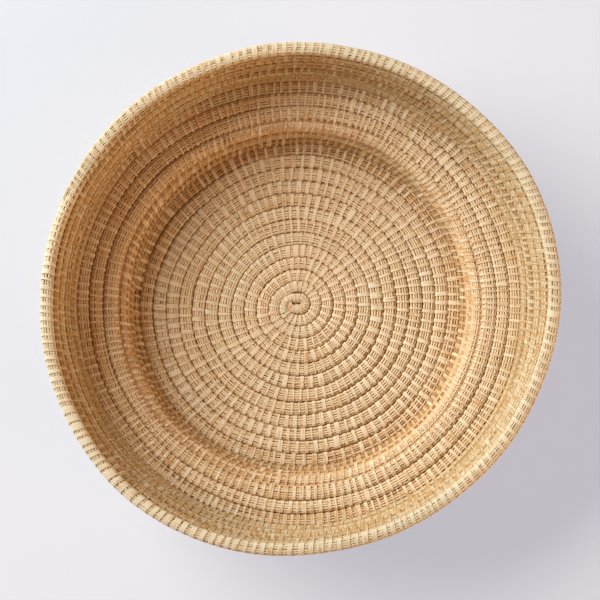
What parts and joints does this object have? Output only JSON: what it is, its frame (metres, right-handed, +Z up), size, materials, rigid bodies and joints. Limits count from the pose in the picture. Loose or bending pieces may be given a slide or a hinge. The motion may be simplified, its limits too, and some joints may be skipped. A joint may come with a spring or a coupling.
{
  "type": "coiled basket",
  "caption": "Round, shallow coiled basket of grass bundles sewn with palm strips, with a flat base, a low inner wall, a ledge and a flared outer wall, to hold fruit or bread.",
  "frame": {"origin": "centre of the flat underside, on the surface that the basket stands on", "axes": "+Z up along the basket's axis, out of its mouth; +X to the right of the picture and +Y to its top"},
  "size_m": [0.3454, 0.3404, 0.0748],
  "materials": {
    "grass_bundle": "dry grass stems laid in a bundle, matt",
    "palm_strip": "split palm leaf, dry, with a slight sheen along the fibre"
  },
  "bodies": {
    "root": {"start_knot": "palm_strip", "base_coil": "grass_bundle", "lower_wall_coil": "grass_bundle", "ledge_coil": "grass_bundle", "upper_wall_coil": "grass_bundle", "rim_coil": "grass_bundle"}
  },
  "joints": []
}
